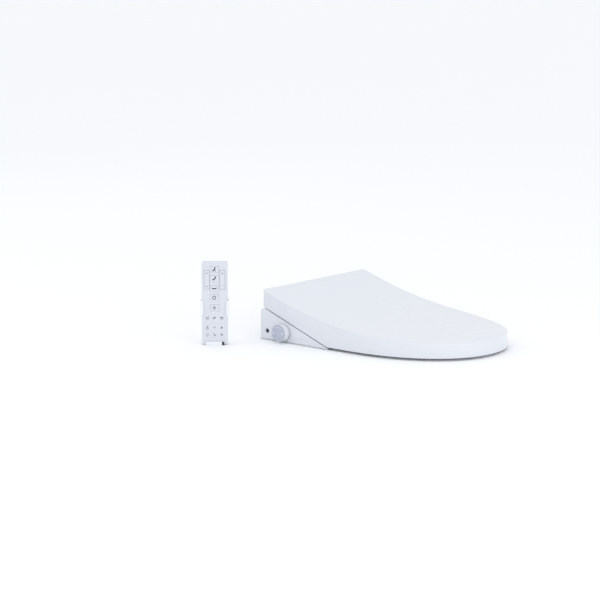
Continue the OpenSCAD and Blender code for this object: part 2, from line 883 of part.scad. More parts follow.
smell_x = [-80, -38];
smell_s = [102, 162];
smell_fan_s = 124;
smell_fan_z = 32;
module deodorizer_housing() {
    wall = 2;
    color(pale)
        difference() {
            block(smell_x[0], smell_x[1], smell_s[0], smell_s[1], duct_z[0], duct_z[1] - 2);
            block(smell_x[0] - 1, smell_x[1] + 1, step_s, smell_s[1] + 1, step_z, duct_z[1]);
            rod_x(smell_x[0] + wall, smell_x[1] - wall, smell_fan_s, smell_fan_z, 19);
            block(smell_x[0] + wall, smell_x[1] - wall, smell_fan_s, smell_s[1] + 1, 18, 46);
            rod_x(smell_x[0] - 1, smell_x[0] + wall + 1, smell_fan_s, smell_fan_z, 1.56);
        }
}

module deodorizer_impeller() {
    color(grey)
        mirror([1, 0, 0])
            impeller(-smell_x[1] + 5, -smell_x[0] - 5, smell_fan_s, smell_fan_z, 17, 16, -smell_x[0]);
}

module carbon_filter() {
    color(dark)
        difference() {
            block(smell_x[0] + 2, smell_x[1] - 2, 148, 161, 18, 46);
            for (x = [smell_x[0] + 5:6:smell_x[1] - 8], z = [21:6:40])
                block(x, x + 4, 147, 162, z, z + 4);
        }
}

// ---------------------------------------------------------------- knob and release button
knob_travel = 1.6;
module knob_shaft() {
    color(grey) {
        rod_x(-panel_x - 8, -168, knob_s, knob_z, 6.2);
        rod_x(-168, -162, knob_s, knob_z, 9);
    }
}

module knob_cap() {
    cap_back = -panel_x - knob_travel - 0.6;
    knob_face = -panel_x - knob_h;
    color(grey)
        difference() {
            union() {
                rod_x(knob_face, cap_back, knob_s, knob_z, knob_d / 2 - 1);
                rod_x(knob_face + 1, cap_back, knob_s, knob_z, knob_d / 2);
            }
            rod_x(knob_face + 4, cap_back + 1, knob_s, knob_z, knob_d / 2 - 2.5);
        }
    color(grey)
        difference() {
            rod_x(knob_face + 3.9, -panel_x - 4, knob_s, knob_z, 9);
            rod_x(-panel_x - 8 - knob_travel - 0.6, -panel_x - 3, knob_s, knob_z, 6.25);
        }
}

module release_button() {
    color(dark) {
        rod_x(-panel_x + 3.4, -176, button_s, button_z, 4.8);
        rod_x(-178.5, -176, button_s, button_z, 6.4);
    }
}

// ---------------------------------------------------------------- remote control and its bracket
remote_place = [-300, 110, 0];
remote_turn = -49.7;
lip_h = 3;              // the remote stands on the bracket's lip
front_shell_t = 14;
shell_wall = 2;
key_proud = 0.3;
key_gap = 0.35;
rib_depth = 1.2;

// The remote's own frame: X across, Z up from the surface, its front looks along -Y, its back is y = 0.
module remote_frame() {
    translate(remote_place) rotate([0, 0, remote_turn]) children();
}

module slab(x0, x1, y0, y1, z0, z1) {
    translate([x0, y0, z0]) cube([x1 - x0, y1 - y0, z1 - z0]);
}

// A slab with its four upright-view corners rounded.
module rounded_slab(half_w, y0, y1, z0, z1, r) {
    translate([0, y1, 0])
        rotate([90, 0, 0])
            linear_extrude(y1 - y0)
                union() {
                    translate([-half_w + r, z0]) square([2 * (half_w - r), z1 - z0]);
                    translate([-half_w, z0 + r]) square([2 * half_w, z1 - z0 - 2 * r]);
                    for (x = [-half_w + r, half_w - r], z = [z0 + r, z1 - r])
                        translate([x, z]) circle(r = r);
                }
}

key_rows = [175, 153.4, 130.5, 108.9, 85];
key_half = [10, 7.5];
rocker_x = 18;
rocker_z = 151;
rocker_half = [6, 22];

module key_hole(z) {
    slab(-key_half[0] - key_gap, key_half[0] + key_gap, -remote_t - 1, -remote_t + shell_wall + 1,
         lip_h + z - key_half[1] - key_gap, lip_h + z + key_half[1] + key_gap);
}

module rocker_hole(x) {
    hole_gap = 0.5;
    slab(x - rocker_half[0] - hole_gap, x + rocker_half[0] + hole_gap,
         -remote_t - 1, -remote_t + shell_wall + 1,
         lip_h + rocker_z - rocker_half[1] - hole_gap, lip_h + rocker_z + rocker_half[1] + hole_gap);
}

module remote_front() {
    color(white)
        remote_frame()
            difference() {
                rounded_slab(remote_w / 2, -remote_t, -remote_t + front_shell_t,
                             lip_h, lip_h + remote_h, 4);
                rounded_slab(remote_w / 2 - shell_wall, -remote_t + shell_wall, 0,
                             lip_h + shell_wall, lip_h + remote_h - shell_wall, 3);
                for (z = key_rows) key_hole(z);
                rocker_hole(-rocker_x);
                rocker_hole(rocker_x);
            }
}

module remote_back() {
    seam_y = -remote_t + front_shell_t;
    color(pale)
        remote_frame()
            difference() {
                rounded_slab(remote_w / 2, seam_y, -0.2, lip_h, lip_h + remote_h, 4);
                rounded_slab(remote_w / 2 - shell_wall, seam_y - 1, -4.2, lip_h + shell_wall,
                             lip_h + remote_h - shell_wall, 3);
                slab(-20, 20, -2.2, 1, lip_h - 1, lip_h + 96);
                slab(-17, 17, -5, 1, lip_h + 34, lip_h + 88);
            }
}

module battery_door() {
    color(pale)
        remote_frame()
            slab(-19.7, 19.7, -2.1, -0.3, lip_h + 26, lip_h + 94);
}

module remote_board() {
    color([0.15, 0.45, 0.3])
        remote_frame()
            slab(-27, 27, -15.8, -14.6, lip_h + 5, lip_h + 187);
}

module batteries() {
    color([0.3, 0.32, 0.36])
        remote_frame()
            for (x = [-7, 7])
                translate([x, -9.45, lip_h + 38]) {
                    cylinder(r = 5.05, h = 44);
                    translate([0, 0, 44]) cylinder(r = 1.5, h = 1.2);
                }
}

// A key cap with a flange behind the front shell.
module key(z) {
    flange = 1;
    color(white)
        remote_frame() {
            slab(-key_half[0], key_half[0], -remote_t - key_proud, -remote_t + shell_wall + 0.1,
                 lip_h + z - key_half[1], lip_h + z + key_half[1]);
            slab(-key_half[0] - flange, key_half[0] + flange, -remote_t + shell_wall + 0.1,
                 -remote_t + shell_wall + 0.1 + rib_depth,
                 lip_h + z - key_half[1] - flange, lip_h + z + key_half[1] + flange);
        }
}

module rear_wash_key() {
    key(key_rows[0]);
}

module front_wash_key() {
    key(key_rows[1]);
}

module dryer_key() {
    key(key_rows[2]);
}

module stop_key() {
    key(key_rows[3]);
}

module power_key() {
    key(key_rows[4]);
}

// A long key that rocks about its middle, with two stems behind it.
module rocker(x) {
    color(white)
        remote_frame() {
            slab(x - rocker_half[0], x + rocker_half[0], -remote_t - key_proud, -remote_t + shell_wall,
                 lip_h + rocker_z - rocker_half[1], lip_h + rocker_z + rocker_half[1]);
            for (end = [-1, 1])
                translate([x, -remote_t + shell_wall + 3, lip_h + rocker_z + end * 16])
                    rotate([90, 0, 0]) cylinder(r = 2, h = 3.5);
        }
}

module position_rocker() {
    rocker(-rocker_x);
}

module pressure_rocker() {
    rocker(rocker_x);
}

// Wall bracket: a back plate with two screw holes, two side clips and a bottom lip.
bracket_gap = 0.5;
lip_x = [-21.4, 16.4];   // ends of the bracket's lip
clip_z = [66.6, 102];
screw_z = [40, 130];
module remote_bracket() {
    side_in = remote_w / 2 + bracket_gap;
    clip_t = 2.5;
    clip_lip_x = 26.5;      // the clips reach in over the remote's face to here
    back_t = 3.5;
    front_y = -remote_t - 2.2;
    clip_low = lip_h + clip_z[0];
    clip_high = lip_h + clip_z[1];
    color(white)
        remote_frame()
            difference() {
                union() {
                    slab(-24, 24, bracket_gap, back_t, 0, 150);
                    for (side = [-1, 1]) {
                        side_slab(side, 20, side_in + clip_t, bracket_gap, back_t, clip_low, clip_high);
                        side_slab(side, side_in, side_in + clip_t, front_y, back_t, clip_low, clip_high);
                        side_slab(side, clip_lip_x, side_in + clip_t, front_y, -remote_t - 0.7,
                                  clip_low, clip_high);
                    }
                    slab(lip_x[0], lip_x[1], front_y, back_t, 0, lip_h);
                    slab(lip_x[0], lip_x[1], front_y, -remote_t - 0.4, 0, 8.6);
                }
                for (z = screw_z) {
                    translate([0, 4, z]) rotate([90, 0, 0]) cylinder(r = 2.2, h = 4);
                    translate([0, 1.9 - 1.4, z]) rotate([-90, 0, 0]) cylinder(r1 = 4.2, r2 = 2.2, h = 2);
                }
            }
}

// A slab between two distances from the middle, on one side of it.
module side_slab(side, near, out, y0, y1, z0, z1) {
    slab(min(side * near, side * out), max(side * near, side * out), y0, y1, z0, z1);
}

// Dark security catch at the end of the lip.
module bracket_lock() {
    color(dark)
        remote_frame() {
            slab(lip_x[1], 21.2, -remote_t - 1.8, -1, 0, lip_h);
            slab(lip_x[1], 21.2, -remote_t - 1.8, -remote_t - 0.4, lip_h, 7.6);
        }
}

mounting_plate();
base_chassis();
main_cover();
left_side_panel();
right_side_panel();
base_feet();
casing_screws();
hinge_pins();
seat_damper();
lid_damper();
control_board();
water_inlet();
inlet_filter();
solenoid_valve();
pump();
instant_heater();
water_tubes();
nozzle_guide();
nozzle_motor();
nozzle_pinion();
nozzle_wand();
nozzle_tip();
nozzle_guard();
dryer_housing();
dryer_motor();
dryer_impeller();
dryer_heater();
dryer_flap();
deodorizer_housing();
deodorizer_impeller();
carbon_filter();
cord_gland();
indicator_light();
knob_shaft();
knob_cap();
release_button();
seat_top();
seat_underside();
seat_heater_foil();
seat_bumpers();
seat_bushes();
lid_shell();
lid_liner();
lid_bumpers();
lid_bushes();
remote_bracket();
bracket_lock();
remote_front();
remote_back();
remote_board();
batteries();
battery_door();
rear_wash_key();
front_wash_key();
dryer_key();
stop_key();
power_key();
position_rocker();
pressure_rocker();
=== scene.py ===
"""Looks of the electric bidet seat and its remote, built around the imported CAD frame.

Lengths inside this script are millimetres until mesh_object() turns them into metres.
s is the distance forward from the rear face of the lid, and y = BOLT_S - s.
"""
import json
import math

import bmesh
import bpy
from mathutils import Matrix, Vector
from mathutils.geometry import delaunay_2d_cdt


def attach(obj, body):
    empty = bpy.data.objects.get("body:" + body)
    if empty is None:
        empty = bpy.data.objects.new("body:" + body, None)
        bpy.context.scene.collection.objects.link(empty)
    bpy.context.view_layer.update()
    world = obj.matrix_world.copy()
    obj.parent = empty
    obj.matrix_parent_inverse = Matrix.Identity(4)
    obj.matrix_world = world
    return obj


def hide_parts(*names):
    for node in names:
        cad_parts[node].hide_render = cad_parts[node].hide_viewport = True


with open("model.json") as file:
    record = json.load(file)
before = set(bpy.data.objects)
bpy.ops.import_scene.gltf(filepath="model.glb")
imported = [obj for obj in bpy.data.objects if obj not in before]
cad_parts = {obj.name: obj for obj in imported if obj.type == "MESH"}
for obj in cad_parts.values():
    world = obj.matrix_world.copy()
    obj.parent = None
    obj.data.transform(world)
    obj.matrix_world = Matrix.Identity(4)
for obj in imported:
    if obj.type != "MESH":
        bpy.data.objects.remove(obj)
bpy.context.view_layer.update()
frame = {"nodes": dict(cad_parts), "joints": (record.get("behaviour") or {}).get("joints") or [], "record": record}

MM = 0.001

# Lid and seat outline
BOLT_S = 60.0
SEAT_LEN = 530.0
REAR_HALF_W = 189.5
MAX_HALF_W = 193.0
WIDE_S = 260.0
FRONT_POWER = 2.18
CORNER_R = 6.0

# Heights of the lid and of the seam below it
LID_FRONT_Z = 40.5
LID_RISE = 80.2
LID_CURVE = 2.6
LIP_S = 14.0
LID_WALL = 3.0
SEAM_REAR_Z = 77.5
SEAM_SLOPE = 73.25 / 200.5
SEAM_GAP = 1.5
SKIRT_Z = 6.2
CUT_HALF_W = 176.0
CUT_LOW_Z, CUT_Z = 50.5, 96.5
LID_CREASE, LID_FOOT = 2.6, 0.7
LID_MARK_X, LID_MARK_S = 141.0, 19.0

# Hinge lugs: their radius, the span of each in X, and the bore for the bush
LID_LUG_R, LID_LUG_X = 9.0, (154.5, 164.5)
SEAT_LUG_R, SEAT_LUG_X = 8.0, (141.0, 152.0)
LUG_BORE_R = 6.0

# Casing
PANEL_X = 190.5
KNOB_R, KNOB_H = 20.2, 20.0
KNOB_BACK = 2.2

# Remote
REMOTE_PLACE = (-300.0, 110.0)
REMOTE_TURN = math.radians(-49.7)
REMOTE_T = 22.0
LIP_H = 3.0
KEY_FACE = REMOTE_T + 0.3
KEY_X = -0.9
LEVEL_LAMPS = [(-14 + 7 * i, 47.6) for i in range(5)]


def joint_place(name):
    """Where a joint's axis stands in side view, as (s, z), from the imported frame."""
    joint = next(j for j in frame["joints"] if j["name"] == name)
    return round(BOLT_S - joint["pos_m"][1] / MM, 3), round(joint["pos_m"][2] / MM, 3)


HINGE_S, HINGE_Z = joint_place("lid_hinge")
KNOB_S, KNOB_Z = joint_place("knob_turn")

# Camera: its axes, place in metres and focal length
CAMERA_BACK = (-0.75028, -0.63589, 0.18089)
CAMERA_RIGHT = (0.6465, -0.7629, 0.0)
CAMERA_PLACE = (-3.89485, -3.19555, 0.99986)
CAMERA_LENS = 127.97


# ------------------------------------------------------------------ camera, light, floor
def make_camera():
    """The camera at the main view; its axes are given in the object's frame."""
    back = Vector(CAMERA_BACK).normalized()
    right = Vector(CAMERA_RIGHT).normalized()
    up = back.cross(right)
    camera = bpy.data.objects.new("camera", bpy.data.cameras.new("camera"))
    turn = Matrix((right, up, back)).transposed().to_4x4()
    camera.matrix_world = Matrix.Translation(CAMERA_PLACE) @ turn
    camera.data.lens = CAMERA_LENS
    camera.data.sensor_width = 36.0
    camera.data.clip_end = 100.0
    bpy.context.collection.objects.link(camera)
    bpy.context.scene.camera = camera


def area_light(name, place, target, size, power):
    data = bpy.data.lights.new(name, "AREA")
    data.shape = "RECTANGLE"
    data.size, data.size_y = size
    data.energy = power
    lamp = bpy.data.objects.new(name, data)
    direction = Vector(target) - Vector(place)
    lamp.matrix_world = Matrix.Translation(place) @ direction.to_track_quat("-Z", "Y").to_matrix().to_4x4()
    bpy.context.collection.objects.link(lamp)


def set_colour():
    """Plain display colours, so that the whites stay white."""
    view = bpy.context.scene.view_settings
    view.view_transform = "Standard"
    view.look = "None"


def make_world():
    world = bpy.data.worlds.new("studio")
    bpy.context.scene.world = world
    world.use_nodes = True
    background = world.node_tree.nodes["Background"]
    background.inputs["Color"].default_value = (0.962, 0.977, 1.0, 1)
    background.inputs["Strength"].default_value = 1.0


def make_lights():
    area_light("front_key", (-1.3, -3.4, 1.2), (0, -0.3, 0.05), (3.2, 1.6), 26)
    area_light("corner_fill", (-1.5, 0.9, 1.7), (-0.1, 0.0, 0.05), (1.2, 1.2), 2.5)
    area_light("rear_rim", (0.8, 2.6, 2.0), (0, 0, 0.05), (2.4, 1.0), 2)


def make_floor():
    size = 30.0
    mesh = bpy.data.meshes.new("floor")
    corners = [(-size, -size, 0), (size, -size, 0), (size, size, 0), (-size, size, 0)]
    mesh.from_pydata(corners, [], [(0, 1, 2, 3)])
    floor = bpy.data.objects.new("floor", mesh)
    bpy.context.collection.objects.link(floor)
    material = bpy.data.materials.new("floor_white")
    material.use_nodes = True
    shader = material.node_tree.nodes["Principled BSDF"]
    shader.inputs["Base Color"].default_value = (0.96, 0.965, 0.975, 1)
    shader.inputs["Roughness"].default_value = 0.8
    shader.inputs["Specular IOR Level"].default_value = 0.1
    floor.data.materials.append(material)


# ------------------------------------------------------------------ materials
def plastic(name, colour, roughness, coat=0.0, grain=900.0, grain_depth=0.02, drift=0.012, metallic=0.0):
    """Moulded plastic: a faint drift of colour, a fine moulding grain and slightly uneven gloss."""
    material = bpy.data.materials.new(name)
    material.use_nodes = True
    tree = material.node_tree
    nodes, links = tree.nodes, tree.links
    shader = nodes["Principled BSDF"]
    shader.inputs["Metallic"].default_value = metallic
    shader.inputs["Coat Weight"].default_value = coat
    shader.inputs["Coat Roughness"].default_value = 0.08
    shader.inputs["IOR"].default_value = 1.5
    place = nodes.new("ShaderNodeTexCoord")

    cloud = nodes.new("ShaderNodeTexNoise")
    cloud.inputs["Scale"].default_value = 6.0
    cloud.inputs["Detail"].default_value = 1.0
    links.new(place.outputs["Object"], cloud.inputs["Vector"])
    tint = nodes.new("ShaderNodeValToRGB")
    low = [max(0.0, c - drift) for c in colour]
    high = [min(1.0, c + drift) for c in colour]
    tint.color_ramp.elements[0].position = 0.15
    tint.color_ramp.elements[0].color = (*low, 1)
    tint.color_ramp.elements[1].position = 0.85
    tint.color_ramp.elements[1].color = (*high, 1)
    links.new(cloud.outputs["Fac"], tint.inputs["Fac"])
    links.new(tint.outputs["Color"], shader.inputs["Base Color"])

    fine = nodes.new("ShaderNodeTexNoise")
    fine.inputs["Scale"].default_value = grain
    fine.inputs["Detail"].default_value = 2.0
    links.new(place.outputs["Object"], fine.inputs["Vector"])
    gloss = nodes.new("ShaderNodeMapRange")
    gloss.inputs["To Min"].default_value = max(0.03, roughness - 0.05)
    gloss.inputs["To Max"].default_value = roughness + 0.05
    links.new(cloud.outputs["Fac"], gloss.inputs["Value"])
    links.new(gloss.outputs["Result"], shader.inputs["Roughness"])
    bump = nodes.new("ShaderNodeBump")
    bump.inputs["Strength"].default_value = grain_depth
    bump.inputs["Distance"].default_value = 0.0004
    links.new(fine.outputs["Fac"], bump.inputs["Height"])
    links.new(bump.outputs["Normal"], shader.inputs["Normal"])
    return material


def brushed_metal(name, colour, roughness):
    """Turned steel: the grain is a noise that is stretched along X."""
    material = plastic(name, colour, roughness, grain=700.0, grain_depth=0.05, metallic=1.0)
    nodes, links = material.node_tree.nodes, material.node_tree.links
    stretch = nodes.new("ShaderNodeMapping")
    stretch.inputs["Scale"].default_value = (1.0, 0.08, 0.08)
    place = next(n for n in nodes if n.bl_idname == "ShaderNodeTexCoord")
    fine = [n for n in nodes if n.bl_idname == "ShaderNodeTexNoise"][-1]
    links.new(place.outputs["Object"], stretch.inputs["Vector"])
    links.new(stretch.outputs["Vector"], fine.inputs["Vector"])
    return material


def circuit_board(name):
    """Green coated board with a faint grid of darker tracks."""
    material = plastic(name, (0.03, 0.17, 0.09), 0.35, grain=500.0)
    nodes, links = material.node_tree.nodes, material.node_tree.links
    place = next(n for n in nodes if n.bl_idname == "ShaderNodeTexCoord")
    tracks = nodes.new("ShaderNodeTexBrick")
    tracks.inputs["Scale"].default_value = 120.0
    tracks.inputs["Color1"].default_value = (0.03, 0.17, 0.09, 1)
    tracks.inputs["Color2"].default_value = (0.035, 0.2, 0.1, 1)
    tracks.inputs["Mortar"].default_value = (0.1, 0.3, 0.14, 1)
    links.new(place.outputs["Object"], tracks.inputs["Vector"])
    links.new(tracks.outputs["Color"], nodes["Principled BSDF"].inputs["Base Color"])
    return material


MATERIALS = {
    "white_plastic": plastic("white_plastic", (0.705, 0.728, 0.775), 0.26, coat=0.25, drift=0.006),
    "inner_plastic": plastic("inner_plastic", (0.74, 0.76, 0.81), 0.42, grain_depth=0.05),
    "knob_plastic": plastic("knob_plastic", (0.44, 0.47, 0.56), 0.38, grain=1400.0, grain_depth=0.06),
    "grey_plastic": plastic("grey_plastic", (0.33, 0.35, 0.38), 0.45, grain=700.0, grain_depth=0.08),
    "dark_plastic": plastic("dark_plastic", (0.008, 0.008, 0.012), 0.5, grain_depth=0.05, drift=0.004),
    "buffer_rubber": plastic("buffer_rubber", (0.55, 0.56, 0.59), 0.7, grain=500.0, grain_depth=0.12),
    "steel": brushed_metal("steel", (0.6, 0.61, 0.63), 0.28),
    "board": circuit_board("board"),
    "heating_element": brushed_metal("heating_element", (0.72, 0.5, 0.32), 0.4),
    "clear_tube": plastic("clear_tube", (0.72, 0.79, 0.86), 0.18, coat=0.3),
    "lamp": plastic("lamp", (0.38, 0.4, 0.46), 0.2, coat=0.4),
    "remote_plastic": plastic("remote_plastic", (0.655, 0.675, 0.735), 0.38, grain=1500.0, grain_depth=0.05,
                              drift=0.006),
    "bracket_plastic": plastic("bracket_plastic", (0.80, 0.815, 0.85), 0.34, grain=1200.0, grain_depth=0.04,
                               drift=0.006),
    "battery_skin": plastic("battery_skin", (0.06, 0.07, 0.1), 0.3, coat=0.3),
}
INK = plastic("ink", (0.035, 0.037, 0.045), 0.5, drift=0.006)
FAINT_INK = plastic("faint_ink", (0.16, 0.17, 0.2), 0.5, drift=0.01)
AMBER = plastic("amber", (0.9, 0.5, 0.28), 0.35, drift=0.02)
PALE_MARK = plastic("pale_mark", (0.76, 0.79, 0.86), 0.4)


# ------------------------------------------------------------------ mesh tools
def mesh_object(name, verts, faces, material):
    """A closed mesh in millimetres becomes an object in metres, with outward normals."""
    mesh = bpy.data.meshes.new(name)
    mesh.from_pydata([[c * MM for c in v] for v in verts], [], faces)
    piece = bpy.data.objects.new(name, mesh)
    bpy.context.collection.objects.link(piece)
    tidy_mesh(piece)
    mesh.materials.append(material)
    return piece


def tidy_mesh(piece, smooth_angle=35.0):
    """Welds doubled points, points the faces outward and smooths all but the sharp edges."""
    form = bmesh.new()
    form.from_mesh(piece.data)
    bmesh.ops.remove_doubles(form, verts=form.verts, dist=0.01 * MM)
    bmesh.ops.recalc_face_normals(form, faces=form.faces)
    form.to_mesh(piece.data)
    form.free()
    piece.data.shade_smooth()
    piece.data.set_sharp_from_angle(angle=math.radians(smooth_angle))


def bridge(faces, first, second):
    """Quads between two closed rings of vertex numbers."""
    count = len(first)
    for i in range(count):
        j = (i + 1) % count
        faces.append((first[i], first[j], second[j], second[i]))


def add_ring(verts, points):
    start = len(verts)
    verts.extend(points)
    return list(range(start, start + len(points)))


def inside(x, y, loop):
    hit = False
    previous = loop[-1]
    for point in loop:
        if (point[1] > y) != (previous[1] > y):
            cross = (previous[0] - point[0]) * (y - point[1]) / (previous[1] - point[1]) + point[0]
            if x < cross:
                hit = not hit
        previous = point
    return hit


def clockwise(loop):
    area = sum(a[0] * b[1] - b[0] * a[1] for a, b in zip(loop, loop[1:] + loop[:1]))
    return area < 0


def shrink(loop, distance):
    """The loop moved in towards its own inside; a negative distance moves it out."""
    turn = -1 if clockwise(loop) else 1
    moved = []
    for i, here in enumerate(loop):
        before, after = loop[i - 1], loop[(i + 1) % len(loop)]
        first = Vector((here[0] - before[0], here[1] - before[1])).normalized()
        second = Vector((after[0] - here[0], after[1] - here[1])).normalized()
        normal = Vector((-first.y - second.y, first.x + second.x)) * turn
        normal.normalize()
        lean = max(0.4, normal.dot(Vector((-first.y, first.x)) * turn))
        moved.append((here[0] + normal.x * distance / lean, here[1] + normal.y * distance / lean))
    return moved


def fill(verts, faces, loops, rings, height, spacing, reverse=False):
    """Triangles between an outer loop and its holes, with a grid of inner points at that spacing."""
    coords = [Vector(p) for loop in loops for p in loop]
    edges, start = [], 0
    for loop in loops:
        edges += [(start + i, start + (i + 1) % len(loop)) for i in range(len(loop))]
        start += len(loop)
    rim = len(coords)
    outer, holes = shrink(loops[0], 0.4 * spacing), [shrink(h, -0.4 * spacing) for h in loops[1:]]
    xs, ys = [p[0] for p in loops[0]], [p[1] for p in loops[0]]
    x_count = int((max(xs) - min(xs)) / spacing)
    y_count = int((max(ys) - min(ys)) / spacing)
    for i in range(1, x_count):
        for j in range(1, y_count):
            x, y = min(xs) + i * spacing, min(ys) + j * spacing
            if inside(x, y, outer) and not any(inside(x, y, h) for h in holes):
                coords.append(Vector((x, y)))
    out, _, triangles, origin = delaunay_2d_cdt(coords, edges, [], 0, 1e-6)[:4]
    flat_rings = [v for ring in rings for v in ring]
    number = {}
    for index, sources in enumerate(origin):
        source = sources[0] if sources else None
        if source is not None and source < rim:
            number[index] = flat_rings[source]
        else:
            number[index] = len(verts)
            verts.append((out[index].x, out[index].y, height(out[index].x, out[index].y)))
    for tri in triangles:
        cx = sum(out[i].x for i in tri) / 3
        cy = sum(out[i].y for i in tri) / 3
        if inside(cx, cy, loops[0]) and not any(inside(cx, cy, h) for h in loops[1:]):
            numbers = [number[i] for i in tri]
            faces.append(tuple(reversed(numbers)) if reverse else tuple(numbers))


def rounded_plate(name, outline, holes, top, bottom, material, top_edge=2.0, low_edge=1.0, spacing=12.0,
                  steps=5):
    """A plate of any outline between two heights, with rounded upper and lower edges."""
    verts, faces = [], []
    all_loops = [outline] + holes
    signs = [1] + [-1] * len(holes)
    profile = []
    for i in range(steps + 1):
        angle = math.radians(90 * i / steps)
        profile.append(("top", top_edge * (1 - math.sin(angle)), top_edge * (1 - math.cos(angle))))
    for i in range(steps, -1, -1):
        angle = math.radians(90 * i / steps)
        profile.append(("low", low_edge * (1 - math.sin(angle)), low_edge * (1 - math.cos(angle))))
    first_rings, last_rings, first_loops, last_loops = [], [], [], []
    for loop, sign in zip(all_loops, signs):
        previous = None
        for side, inset, drop in profile:
            moved = shrink(loop, sign * inset)
            heights = [top(x, y) - drop if side == "top" else bottom(x, y) + drop for x, y in moved]
            ring = add_ring(verts, [(x, y, z) for (x, y), z in zip(moved, heights)])
            if previous is None:
                first_rings.append(ring)
                first_loops.append(moved)
            else:
                bridge(faces, previous, ring)
            previous = ring
        last_rings.append(previous)
        last_loops.append(moved)
    fill(verts, faces, first_loops, first_rings, top, spacing)
    fill(verts, faces, last_loops, last_rings, bottom, spacing, reverse=True)
    return mesh_object(name, verts, faces, material)


def lathe(name, profile, material, segments):
    """A closed form turned about Z from (radius, height) points; both ends lie on the axis."""
    verts, faces, rings = [], [], []
    for radius, height in profile:
        if radius == 0:
            rings.append(add_ring(verts, [(0, 0, height)]))
            continue
        angles = [2 * math.pi * i / segments for i in range(segments)]
        rings.append(add_ring(verts, [(radius * math.cos(a), radius * math.sin(a), height) for a in angles]))
    for a, b in zip(rings, rings[1:]):
        if len(a) == 1 or len(b) == 1:
            point, ring = (a[0], b) if len(a) == 1 else (b[0], a)
            faces += [(point, ring[i], ring[(i + 1) % segments]) for i in range(segments)]
        else:
            bridge(faces, a, b)
    return mesh_object(name, verts, faces, material)


def prism(name, outline, low, high, material):
    """A straight prism between two heights above an outline in X and Y."""
    verts, faces = [], []
    lower = add_ring(verts, [(x, y, low) for x, y in outline])
    upper = add_ring(verts, [(x, y, high) for x, y in outline])
    bridge(faces, lower, upper)
    faces += [tuple(reversed(lower)), tuple(upper)]
    return mesh_object(name, verts, faces, material)


def move_mesh(piece, matrix):
    """Bakes a placement in millimetres into the piece's mesh."""
    placed = matrix.copy()
    placed.translation *= MM
    piece.data.transform(placed)
    piece.data.update()


def bevel(piece, width, segments=3, angle=32.0):
    modifier = piece.modifiers.new("edge", "BEVEL")
    modifier.width = width * MM
    modifier.segments = segments
    modifier.limit_method = "ANGLE"
    modifier.angle_limit = math.radians(angle)
    modifier.use_clamp_overlap = True
    apply_modifiers(piece)


def apply_modifiers(piece):
    graph = bpy.context.evaluated_depsgraph_get()
    mesh = bpy.data.meshes.new_from_object(piece.evaluated_get(graph), depsgraph=graph)
    old = piece.data
    piece.modifiers.clear()
    piece.data = mesh
    bpy.data.meshes.remove(old)


def cut(piece, cutter):
    """Takes the cutter's shape out of the piece and deletes the cutter."""
    modifier = piece.modifiers.new("cut", "BOOLEAN")
    modifier.object = cutter
    modifier.solver = "EXACT"
    apply_modifiers(piece)
    bpy.data.objects.remove(cutter)


def body_of_node(node):
    return next(body for body, nodes in frame["record"]["behaviour"]["bodies"].items() if node in nodes)


def slot_of_node(node):
    return next(p["material_slot"] for p in frame["record"]["subparts"] if p["node"] == node)


def stand_for(piece, node, *more):
    """The piece is shown in place of the CAD nodes, on the same body."""
    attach(piece, body_of_node(node))
    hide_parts(node, *more)


def join_in(piece, node):
    """A further piece that goes with the node's body."""
    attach(piece, body_of_node(node))


def softened(node, width):
    """A copy of a CAD node's mesh with its flat faces joined up and its edges rounded."""
    source = frame["nodes"][node]
    piece = bpy.data.objects.new(node + "_piece", source.data.copy())
    bpy.context.collection.objects.link(piece)
    form = bmesh.new()
    form.from_mesh(piece.data)
    bmesh.ops.remove_doubles(form, verts=form.verts, dist=0.002 * MM)
    bmesh.ops.dissolve_limit(form, angle_limit=math.radians(0.4), verts=form.verts, edges=form.edges)
    form.to_mesh(piece.data)
    form.free()
    bevel(piece, width)
    tidy_mesh(piece)
    piece.data.materials.clear()
    piece.data.materials.append(MATERIALS[slot_of_node(node)])
    stand_for(piece, node)
    return piece


# ------------------------------------------------------------------ lid
COLUMNS = [math.cos(math.pi * i / 28) for i in range(29)]
SIDE_ROWS = [9.5, 12, 13.2, 14, 14.8, 16.5, 22, 32, 45, 60, 78, 98, 118, 138, 158, 176, 190, 198.5,
             207, 220, 235, 248]
FRONT_ROWS = [2.5 * i for i in range(36)]


def lid_z(s):
    return LID_FRONT_Z + LID_RISE * max(0.0, 1 - s / SEAT_LEN) ** LID_CURVE


def seam_z(s):
    return SEAM_REAR_Z - SEAM_SLOPE * s


def side_x(s):
    return REAR_HALF_W + (MAX_HALF_W - REAR_HALF_W) * (1 - (1 - s / WIDE_S) ** 2)


def softness(s):
    """How much rounder than the rest the lid's top edge is towards its rear."""
    return 1 + 0.8 * max(0.0, 1 - max(0.0, s - CORNER_R) / 45) ** 2


def front_rows(inset):
    """Right half of the plan's front as (x, s) points, from its widest place to just before the tip."""
    rows = []
    for turn in FRONT_ROWS:
        a = math.radians(turn)
        rows.append(((MAX_HALF_W - inset) * math.cos(a) ** (2 / FRONT_POWER),
                     WIDE_S + (SEAT_LEN - WIDE_S - inset) * math.sin(a) ** (2 / FRONT_POWER)))
    return rows


def half_rows(inset):
    """Right half of the plan outline as (x, s) points, from the rear corner to just before the front tip."""
    corner = max(1.0, CORNER_R - inset)
    rows = []
    for turn in range(0, 91, 15):
        a = math.radians(turn)
        rows.append((REAR_HALF_W - inset - corner * (1 - math.sin(a)), inset + corner * (1 - math.cos(a))))
    rows += [(side_x(s) - inset, s) for s in SIDE_ROWS]
    return rows + front_rows(inset)


